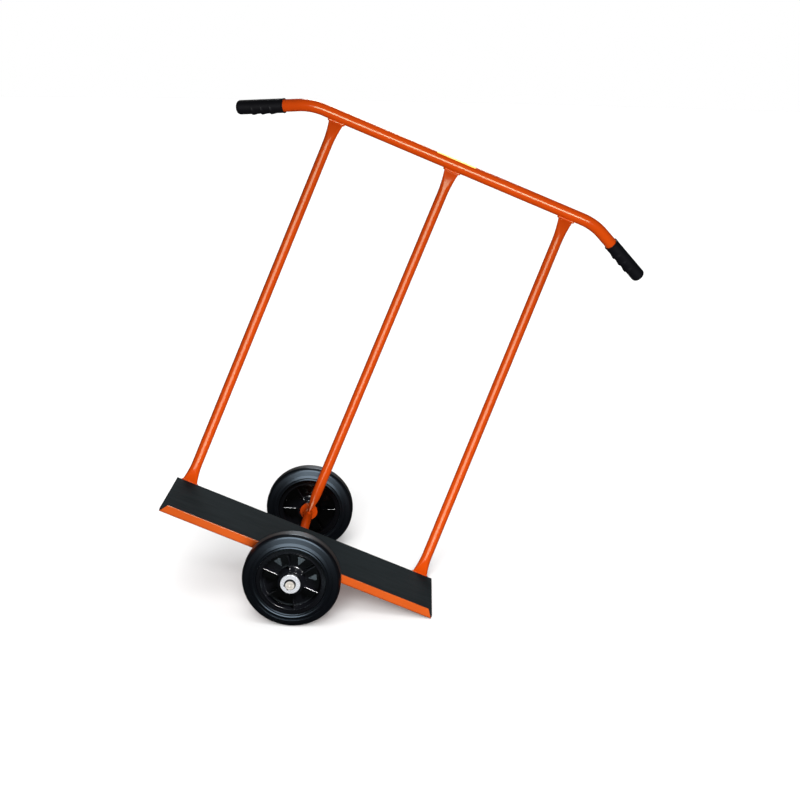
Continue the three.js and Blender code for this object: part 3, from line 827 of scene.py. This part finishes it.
def disc_mesh(radius, thickness):
    """A collar or washer that fits the axle."""
    half = thickness / 2
    return turned(mirrored_outline([
        (radius, half, DISC_EDGE),
        (AXLE_R + SEAT_GAP, half, DISC_BORE_EDGE),
    ]), DISC_SIDES)


def circlip_mesh():
    """A split ring with an ear at each end, drawn in polar columns about Y, opening towards +X."""
    outer_r = CIRCLIP_INNER_R + CIRCLIP_WIDTH
    ear_reach = math.asin(CIRCLIP_EAR_R / outer_r)
    first = CIRCLIP_OPENING / 2
    last = 2 * math.pi - first
    rings = []
    for k in range(CIRCLIP_STEPS + 1):
        angle = first - ear_reach + (last - first + 2 * ear_reach) * k / CIRCLIP_STEPS
        inner = CIRCLIP_INNER_R
        outer = outer_r
        for ear in (first, last):
            offset = angle - ear
            if abs(offset) > ear_reach:
                continue
            chord = math.sqrt(max(0, CIRCLIP_EAR_R ** 2 - (outer_r * math.sin(offset)) ** 2))
            along = outer_r * math.cos(offset)
            beyond = angle < first or angle > last
            outer = along + chord if beyond else max(outer, along + chord)
            inner = max(inner, along - chord) if beyond else inner
        outer = max(outer, inner + CIRCLIP_LEAST_WIDTH)
        ring = [
            (r * math.cos(angle), y, -r * math.sin(angle))
            for r, y in ((inner, 0), (outer, 0), (outer, CIRCLIP_THICKNESS), (inner, CIRCLIP_THICKNESS))
        ]
        rings.append(ring)
    holes = []
    for ear in (first, last):
        pin = turned([
            (0, CIRCLIP_HOLE_START),
            (CIRCLIP_HOLE_R, CIRCLIP_HOLE_START),
            (CIRCLIP_HOLE_R, CIRCLIP_HOLE_END),
            (0, CIRCLIP_HOLE_END),
        ], HOLE_SIDES, closed=False)
        shift = Vector((outer_r * math.cos(ear), 0, -outer_r * math.sin(ear))) * MM
        bmesh.ops.translate(pin, vec=shift, verts=pin.verts)
        holes.append(("DIFFERENCE", pin))
    clip = combined(lofted(rings), holes)
    return softened(clip, CIRCLIP_EDGE, least_angle=CIRCLIP_EDGE_ANGLE)


def add_wheel(name, side, turn):
    """A wheel, and the collar, washer and circlip that keep it in place on the axle."""
    body = f"{name}_wheel"
    middle = LEVEL @ Matrix.Translation((0, side * WHEEL_TRACK / 2 * MM, 0))
    rolled = middle @ Matrix.Rotation(turn, 4, "Y")

    def beside(distance):
        return middle @ Matrix.Translation((0, side * distance * MM, 0))

    add_piece(
        f"{name}_rubber_tyre",
        tyre_mesh(),
        TYRE_RUBBER,
        body,
        rolled,
        f"{name}_tyre",
    )
    add_piece(
        f"{name}_ribbed_centre",
        wheel_centre_mesh(),
        WHEEL_PLASTIC,
        body,
        rolled,
        f"{name}_wheel_centre",
    )
    add_painted(
        f"{name}_welded_collar",
        disc_mesh(COLLAR_R, COLLAR_THICKNESS),
        f"{name}_collar",
        beside(-HUB_STOP - COLLAR_THICKNESS / 2),
    )
    add_piece(
        f"{name}_zinc_washer",
        disc_mesh(WASHER_R, WASHER_THICKNESS),
        ZINC,
        "frame",
        beside(HUB_STOP + WASHER_THICKNESS / 2),
        f"{name}_washer",
    )
    clip_low = CIRCLIP_FACE if side > 0 else CIRCLIP_FACE + CIRCLIP_THICKNESS
    add_piece(
        f"{name}_spring_clip",
        circlip_mesh(),
        SPRING_STEEL,
        "frame",
        beside(clip_low) @ Matrix.Rotation(CIRCLIP_OPENING_TURN, 4, "Y"),
        f"{name}_circlip",
    )
    weld = bead_mesh(circle_path(AXLE_R + COLLAR_WELD_R / 2), True, COLLAR_WELD_R)
    add_painted(f"{name}_collar_weld", weld, place=beside(-HUB_STOP - COLLAR_THICKNESS))


# Axle

def axle_mesh():
    """A round bar with a circlip groove, a chamfer and a centre drilling at each end."""
    groove_in = WHEEL_TRACK / 2 + HUB_STOP + WASHER_THICKNESS
    groove_out = groove_in + CLIP_GROOVE_WIDTH
    half = [
        (AXLE_R, 0),
        (AXLE_R, COLLAR_FACE),
        (AXLE_R, groove_in),
        (CLIP_GROOVE_R, groove_in),
        (CLIP_GROOVE_R, groove_out),
        (AXLE_R, groove_out),
        (AXLE_R, AXLE_HALF - AXLE_CHAMFER),
        (AXLE_R - AXLE_CHAMFER, AXLE_HALF),
        (CENTRE_DRILL_R, AXLE_HALF),
        (0, AXLE_HALF - CENTRE_DRILL_DEPTH),
    ]
    below = [(r, -y) for r, y in reversed(half[1:])]
    return turned(below + half, DISC_SIDES, closed=False)


def add_axle():
    """The axle: painted between the collars, dark beyond them and bare on its end faces, and its welds."""
    axle = add_painted("long_axle", axle_mesh(), "axle")
    axle.data.materials.append(SPRING_STEEL)
    axle.data.materials.append(BARE_STEEL)
    for face in axle.data.polygons:
        from_centreline = math.hypot(face.center.x, face.center.z)
        if abs(face.center.y) > (COLLAR_FACE + COLLAR_THICKNESS / 2) * MM:
            face.material_index = 1
        if from_centreline < BARE_END_R * MM:
            face.material_index = 2
    z = PLATE_UNDER - AXLE_WELD_DROP
    for i, (start, end) in enumerate(AXLE_WELDS):
        for name, side in SIDES:
            x = side * AXLE_WELD_X
            run = bead_mesh([Vector((x, start, z)), Vector((x, end, z))], False, AXLE_WELD_R)
            add_painted(f"{name}_axle_weld_{i + 1}", run)


# Tubes

def pressed_ring(centre, x_way, other_way, thickness, wide_along_x):
    """A tube's outline when squeezed to a thickness: its girth stays the same."""
    flat = math.pi * (TUBE_DIAMETER - thickness) / 2
    ring = []
    for k in range(TUBE_SIDES):
        angle = 2 * math.pi * (k + 0.5) / TUBE_SIDES
        along_x = math.cos(angle) * thickness
        along_other = math.sin(angle) * thickness
        if wide_along_x:
            along_x += math.copysign(flat, along_x)
        else:
            along_other += math.copysign(flat, along_other)
        ring.append(centre + x_way * along_x / 2 + other_way * along_other / 2)
    return ring


def pressed_thickness(share):
    """How thick a tube is at a share of the way from its pressed end to its round part."""
    eased = share * (2 - share)
    return PRESSED_THICKNESS + (TUBE_DIAMETER - PRESSED_THICKNESS) * eased


def add_pressed_tube(name, node, foot, wide_foot_along_x):
    """A tube from its foot to the bar, pressed flat at both ends, and the welds round them."""
    bar_centre = Vector((foot.x, BAR_CENTRE.y, BAR_CENTRE.z))
    axis = bar_centre - foot
    length = axis.length - BAR_R - SEAT_GAP
    axis.normalize()
    x_way = Vector((1, 0, 0))
    y_way = Vector((0, 1, 0))
    other_way = axis.cross(x_way)

    def ring(along, thickness, wide_along_x):
        return pressed_ring(foot + axis * along, x_way, other_way, thickness, wide_along_x)

    shares = [k / PRESS_STEPS for k in range(PRESS_STEPS + 1)]
    seat = [
        point - axis * (point.z - foot.z) / axis.z
        for point in ring(0, PRESSED_THICKNESS, wide_foot_along_x)
    ]
    rings = [seat]
    for share in shares:
        along = PRESSED_LAND + (FOOT_PRESS_LENGTH - PRESSED_LAND) * share
        rings.append(ring(along, pressed_thickness(share), wide_foot_along_x))
    for share in reversed(shares):
        along = length - PRESSED_LAND - (HEAD_PRESS_LENGTH - PRESSED_LAND) * share
        rings.append(ring(along, pressed_thickness(share), True))
    rings.append(ring(length, PRESSED_THICKNESS, True))
    add_painted(f"{name}_tube", lofted(rings), node)

    head = stadium_path(
        foot + axis * (length - HEAD_WELD_R / 2),
        x_way,
        other_way,
        PRESSED_FLAT,
        PRESSED_THICKNESS / 2 + HEAD_WELD_R / 2,
    )
    add_painted(f"{name}_head_weld", bead_mesh(head, True, HEAD_WELD_R))
    base = stadium_path(
        foot + Vector((0, 0, FOOT_WELD_R / 2)),
        x_way if wide_foot_along_x else y_way,
        y_way if wide_foot_along_x else x_way,
        PRESSED_FLAT,
        PRESSED_THICKNESS / 2 + FOOT_WELD_R / 3,
    )
    add_painted(f"{name}_foot_weld", bead_mesh(base, True, FOOT_WELD_R))


def add_upright(name, side):
    """A tube that stands on the deck's rear edge."""
    foot = Vector((side * UPRIGHT_SPREAD / 2, UPRIGHT_FOOT_Y, FOOT_Z))
    add_pressed_tube(name, f"{name}_upright", foot, True)


def add_strut():
    """The middle tube, which stands on the axle."""
    foot = Vector((0, STRUT_FOOT_Y, AXLE_R + SEAT_GAP))
    add_pressed_tube("centre", "centre_strut", foot, False)


# Handlebar

def bar_point(heading, beyond, side):
    """A point of the bar's centreline: where the bend has turned to a heading, and some way beyond."""
    along = BAR_BEND_START + BAR_BEND_RADIUS * math.sin(heading) + beyond * math.cos(heading)
    aside = BAR_BEND_RADIUS * (1 - math.cos(heading)) + beyond * math.sin(heading)
    return BAR_CENTRE + Vector((side * along, 0, 0)) + BEND_WAY * aside


def bar_heading(heading, side):
    """The bar's direction, outwards, where the bend has turned to a heading."""
    return Vector((side * math.cos(heading), 0, 0)) + BEND_WAY * math.sin(heading)


def add_handlebar():
    """A straight bar whose two ends bend down and back."""
    stops = [(BAR_BEND * k / BEND_STEPS, 0) for k in range(BEND_STEPS + 1)]
    stops.append((BAR_BEND, BAR_END))
    angles = [2 * math.pi * k / TUBE_SIDES for k in range(TUBE_SIDES)]
    across = Vector((1, 0, 0)).cross(BEND_WAY)

    def ring(stop, side):
        centre = bar_point(*stop, side)
        other_way = (bar_heading(stop[0], side) * side).cross(across)
        return [centre + BAR_R * (across * math.cos(a) + other_way * math.sin(a)) for a in angles]

    rings = [ring(stop, -1) for stop in reversed(stops)] + [ring(stop, 1) for stop in stops]
    add_painted("bent_handlebar", lofted(rings), "handlebar")


def add_strip():
    """A blank strip of yellow film round the back of the bar's top."""
    angles = [
        STRIP_FRONT + (STRIP_BACK - STRIP_FRONT) * k / STRIP_STEPS
        for k in range(STRIP_STEPS + 1)
    ]
    outline = [(BAR_R + STRIP_THICKNESS, a) for a in angles]
    outline += [(BAR_R - STRIP_THICKNESS, a) for a in reversed(angles)]
    rings = [
        [BAR_CENTRE + Vector((x, -r * math.cos(a), r * math.sin(a))) for r, a in outline]
        for x in (STRIP_LEFT, STRIP_RIGHT)
    ]
    add_piece("blank_strip", lofted(rings), YELLOW_FILM, "frame")


# Grips

def ridge_radius(along):
    """The radius of the raised underside at a distance from the mouth, or none between ridges."""
    for i in range(RIDGE_COUNT):
        offset = along - RIDGE_START - i * RIDGE_PITCH
        if -RIDGE_SLOPE_LENGTH <= offset <= -RIDGE_CREST / 2:
            share = (offset + RIDGE_SLOPE_LENGTH) / (RIDGE_SLOPE_LENGTH - RIDGE_CREST / 2)
            return GRIP_R - RIDGE_RISE * (1 - share)
        if abs(offset) < RIDGE_CREST / 2:
            return GRIP_R
        if RIDGE_CREST / 2 <= offset <= RIDGE_DROP_LENGTH:
            share = (offset - RIDGE_CREST / 2) / (RIDGE_DROP_LENGTH - RIDGE_CREST / 2)
            return GRIP_R - RIDGE_RISE * share
    return 0


def grip_mesh():
    """A blind sleeve along +Y with finger ridges on its +Z side."""
    bore_r = BAR_R + SEAT_GAP
    bore_end = GRIP_LENGTH - GRIP_END_WALL
    mouth_r = GRIP_R + GRIP_MOUTH_BEAD
    inside = [
        (0, bore_end),
        (bore_r, bore_end),
        (bore_r, GRIP_MOUTH_EDGE),
        (bore_r + GRIP_MOUTH_EDGE, 0),
    ]
    mouth = [
        (mouth_r - GRIP_MOUTH_EDGE, 0),
        (mouth_r, GRIP_MOUTH_EDGE),
        (mouth_r, GRIP_MOUTH_LENGTH / 2),
    ]
    straight_length = GRIP_LENGTH - GRIP_END_ROUND - GRIP_MOUTH_LENGTH
    straight = [(GRIP_R, GRIP_MOUTH_LENGTH + k) for k in range(straight_length + 1)]
    end = []
    for k in range(1, GRIP_END_STEPS + 1):
        angle = math.pi / 2 * k / GRIP_END_STEPS
        end.append((
            GRIP_R - GRIP_END_ROUND * (1 - math.cos(angle)),
            GRIP_LENGTH - GRIP_END_ROUND * (1 - math.sin(angle)),
        ))
    profile = inside + mouth + straight + end + [(0, GRIP_LENGTH)]
    rows = []
    for k in range(DISC_SIDES):
        angle = 2 * math.pi * k / DISC_SIDES
        offset = RIDGE_RISE * math.sin(angle)
        for i, (r, y) in enumerate(profile):
            raised = ridge_radius(y) if i >= len(inside) and r > bore_r else 0
            if raised > abs(offset):
                r = max(r, RIDGE_RISE * math.cos(angle) + math.sqrt(raised ** 2 - offset ** 2))
            rows.append((r * math.sin(angle), y, r * math.cos(angle)))
    return shell(rows, grid_faces(DISC_SIDES, len(profile), True, False))


def add_grip(name, side):
    """A grip on one end of the bar, its ridges turned down."""
    along = bar_heading(BAR_BEND, side)
    down = Vector((0, 0, -1))
    under = (down - along * down.dot(along)).normalized()
    turn = Matrix((along.cross(under), along, under)).transposed().to_4x4()
    mouth = bar_point(BAR_BEND, BAR_BARE_END, side)
    add_piece(
        f"{name}_vinyl_grip",
        grip_mesh(),
        GRIP_VINYL,
        "frame",
        LEVEL @ Matrix.Translation(mouth * MM) @ turn,
        f"{name}_grip",
    )


# Deck

def add_deck():
    """A sheet folded up into a lip with mitred ends, and the rubber mat on it."""
    lip_top = PLATE_UNDER + LIP_HEIGHT
    outer_bend = PLATE_BEND + PLATE_THICKNESS
    lip_inner = LIP_Y + PLATE_THICKNESS
    flat_start = LIP_Y + 2 * outer_bend
    fold = rounded([
        (PLATE_REAR, PLATE_UNDER, 0),
        (PLATE_REAR, PLATE_TOP, 0),
        (flat_start, PLATE_TOP, 0),
        (lip_inner, PLATE_TOP, PLATE_BEND),
        (lip_inner, lip_top, 0),
        (LIP_Y, lip_top, 0),
        (LIP_Y, PLATE_UNDER, outer_bend),
        (flat_start, PLATE_UNDER, 0),
    ])

    def end(y, z):
        cut = LIP_MITRE * (z - PLATE_UNDER) / LIP_HEIGHT
        fade = min(1, max(0, (flat_start - y) / outer_bend))
        return DECK_LENGTH / 2 - cut * fade

    rings = [[(side * end(y, z), y, z) for y, z in fold] for side in (-1, 1)]
    plate = softened(lofted(rings), PLATE_EDGE)
    # The folded sheet wears the paler orange, with the floor's reflection painted into its colour.
    add_piece("folded_deck", plate, ORANGE_PAINTED_SHEEN, "frame", LEVEL, "deck_plate")

    front = lip_inner + PLATE_BEND + SEAT_GAP
    rear = PLATE_REAR - FOOT_DEPTH - SEAT_GAP
    half = DECK_LENGTH / 2
    outline = [(-half, front), (half, front), (half, rear), (-half, rear)]
    raised = Matrix.Translation((0, 0, PLATE_TOP + SEAT_GAP))
    mat = softened(extruded(outline, MAT_THICKNESS, raised), MAT_EDGE, FINE_EDGE_STEPS)
    add_piece("rubber_mat", mat, MAT_RUBBER, "frame", LEVEL, "anti_slip_mat")


# Bearings

def dress_bearings():
    """Materials for the rollers, cages and sleeves, which keep their solids."""
    for name, node in frame["nodes"].items():
        if "roller_cage" in name:
            material = CAGE_PLASTIC
        elif "roller" in name or "sleeve" in name:
            material = BEARING_STEEL
        else:
            continue
        node.data.materials.clear()
        node.data.materials.append(material)


# Floor, light and camera, in metres

def add_floor():
    """A wide pale disc that throws no light back on to the cart."""
    mesh = bmesh.new()
    bmesh.ops.create_circle(mesh, cap_ends=True, radius=FLOOR_R, segments=FLOOR_SIDES)
    data = bpy.data.meshes.new("floor")
    mesh.to_mesh(data)
    mesh.free()
    floor = bpy.data.objects.new("floor", data)
    bpy.context.scene.collection.objects.link(floor)
    data.materials.append(surface(
        "pale_floor",
        dark=tuple(FLOOR_SHADE * c for c in FLOOR_COLOUR),
        light=FLOOR_COLOUR,
        gloss=(0.75, 0.85),
        grain=(60.0, 0.0002, 0.02),
        drift=0.6,
        Specular_IOR_Level=0.1,
    ))
    floor.visible_glossy = False
    floor.visible_diffuse = False
    return floor


def add_world():
    """An even white surround, bright to the camera, dim as light and dimmer still in reflections."""
    world = bpy.data.worlds.new("studio")
    world.use_nodes = True
    nodes = world.node_tree.nodes
    links = world.node_tree.links
    background = nodes["Background"]
    background.inputs["Color"].default_value = (1, 1, 1, 1)
    path = nodes.new("ShaderNodeLightPath")
    dimmed = nodes.new("ShaderNodeMapRange")
    dimmed.inputs["To Min"].default_value = WORLD_LIGHT
    dimmed.inputs["To Max"].default_value = WORLD_GLINT
    links.new(path.outputs["Is Glossy Ray"], dimmed.inputs["Value"])
    seen = nodes.new("ShaderNodeMapRange")
    seen.inputs["To Max"].default_value = WORLD_SEEN
    links.new(path.outputs["Is Camera Ray"], seen.inputs["Value"])
    links.new(dimmed.outputs["Result"], seen.inputs["To Min"])
    links.new(seen.outputs["Result"], background.inputs["Strength"])
    bpy.context.scene.world = world


def link_light(lamp, things, state):
    """Keeps a lamp's light to some things, or off them: the state is INCLUDE or EXCLUDE."""
    linked = bpy.data.collections.new(lamp.name)
    for thing in things:
        linked.objects.link(thing)
    for member in linked.collection_objects:
        member.light_linking.link_state = state
    lamp.light_linking.receiver_collection = linked


def add_softbox(name, things, state, around=None, diffuse=True, glossy=True):
    """A soft light on some things alone, or on everything but them.

    Around a point, the light is placed from that point and aims at it.
    """
    offset, size, power = SOFTBOXES[name]
    target = LIGHT_TARGET if around is None else around
    place = Vector(offset) if around is None else around + Vector(offset)
    light = bpy.data.lights.new(name, "AREA")
    light.shape = "RECTANGLE"
    light.size, light.size_y = size
    light.energy = power
    lamp = bpy.data.objects.new(name, light)
    lamp.location = place
    lamp.rotation_euler = (target - place).to_track_quat("-Z", "Y").to_euler()
    bpy.context.scene.collection.objects.link(lamp)
    lamp.visible_camera = False
    lamp.visible_diffuse = diffuse
    lamp.visible_glossy = glossy
    link_light(lamp, things, state)
    return lamp


def add_sun(name, floor):
    """Even light on the floor alone."""
    angle, strength, softness = SUNS[name]
    light = bpy.data.lights.new(name, "SUN")
    light.energy = strength
    light.angle = softness
    lamp = bpy.data.objects.new(name, light)
    lamp.rotation_euler = (math.pi / 2 - angle, 0, 0)
    bpy.context.scene.collection.objects.link(lamp)
    link_light(lamp, [floor], "INCLUDE")


def pieces(*names):
    """The scene's objects of these names."""
    return [bpy.data.objects[name] for name in names]


def add_lights(floor):
    """Soft lights, each kept to the surfaces that it is for, and suns for the floor."""
    tyres = pieces("front_rubber_tyre", "rear_rubber_tyre")
    front_centre = pieces("front_ribbed_centre")
    rear_centre = pieces("rear_ribbed_centre")
    tubes = pieces("left_tube", "centre_tube", "right_tube")
    strip = pieces("blank_strip")
    lit_apart = [floor, *tyres, *front_centre, *rear_centre, *tubes]
    add_softbox("key", lit_apart, "EXCLUDE", glossy=False)
    add_softbox("low", lit_apart, "EXCLUDE", glossy=False)
    add_softbox("tube_key", tubes, "INCLUDE", glossy=False)
    add_softbox("tube_glint", tubes, "INCLUDE", diffuse=False)
    add_softbox("glint", lit_apart, "EXCLUDE", diffuse=False)
    add_softbox("tyre_top", strip + tyres, "INCLUDE")
    add_softbox("front_flash", front_centre, "INCLUDE")
    add_softbox("rear_flash", rear_centre, "INCLUDE")
    front_wheel = LEVEL @ Vector((0, -WHEEL_TRACK / 2 * MM, 0))
    for name in ("top_glint", "side_glint"):
        lamp = add_softbox(name, front_centre, "INCLUDE", around=front_wheel)
        lamp.data.color = GLINT_COLOUR
    add_softbox("back", [floor], "EXCLUDE")
    add_softbox("tube_back", tubes, "INCLUDE", glossy=False)
    for name in SUNS:
        add_sun(name, floor)


def add_camera():
    """A camera that stands where the photograph was taken from."""
    data = bpy.data.cameras.new("camera")
    data.lens = CAMERA_LENS
    data.sensor_width = CAMERA_SENSOR
    data.shift_x, data.shift_y = CAMERA_SHIFT
    camera = bpy.data.objects.new("camera", data)
    bpy.context.scene.collection.objects.link(camera)
    turn = Matrix.Rotation(CAMERA_HEADING, 4, "Z")
    turn = turn @ Matrix.Rotation(math.pi / 2 - CAMERA_DOWN, 4, "X")
    turn = turn @ Matrix.Rotation(CAMERA_ROLL, 4, "Z")
    camera.matrix_world = Matrix.Translation(AXLE + CAMERA_FROM_AXLE) @ turn
    bpy.context.scene.camera = camera


# The cart
add_deck()
add_axle()
add_handlebar()
add_strip()
for side_name, side in SIDES:
    add_upright(side_name, side)
    add_grip(side_name, side)
add_strut()
add_wheel("front", -1, FRONT_WHEEL_TURN)
add_wheel("rear", 1, REAR_WHEEL_TURN)
dress_bearings()

# The studio round it
studio_floor = add_floor()
add_world()
add_lights(studio_floor)
add_camera()
bpy.context.scene.view_settings.view_transform = "Standard"
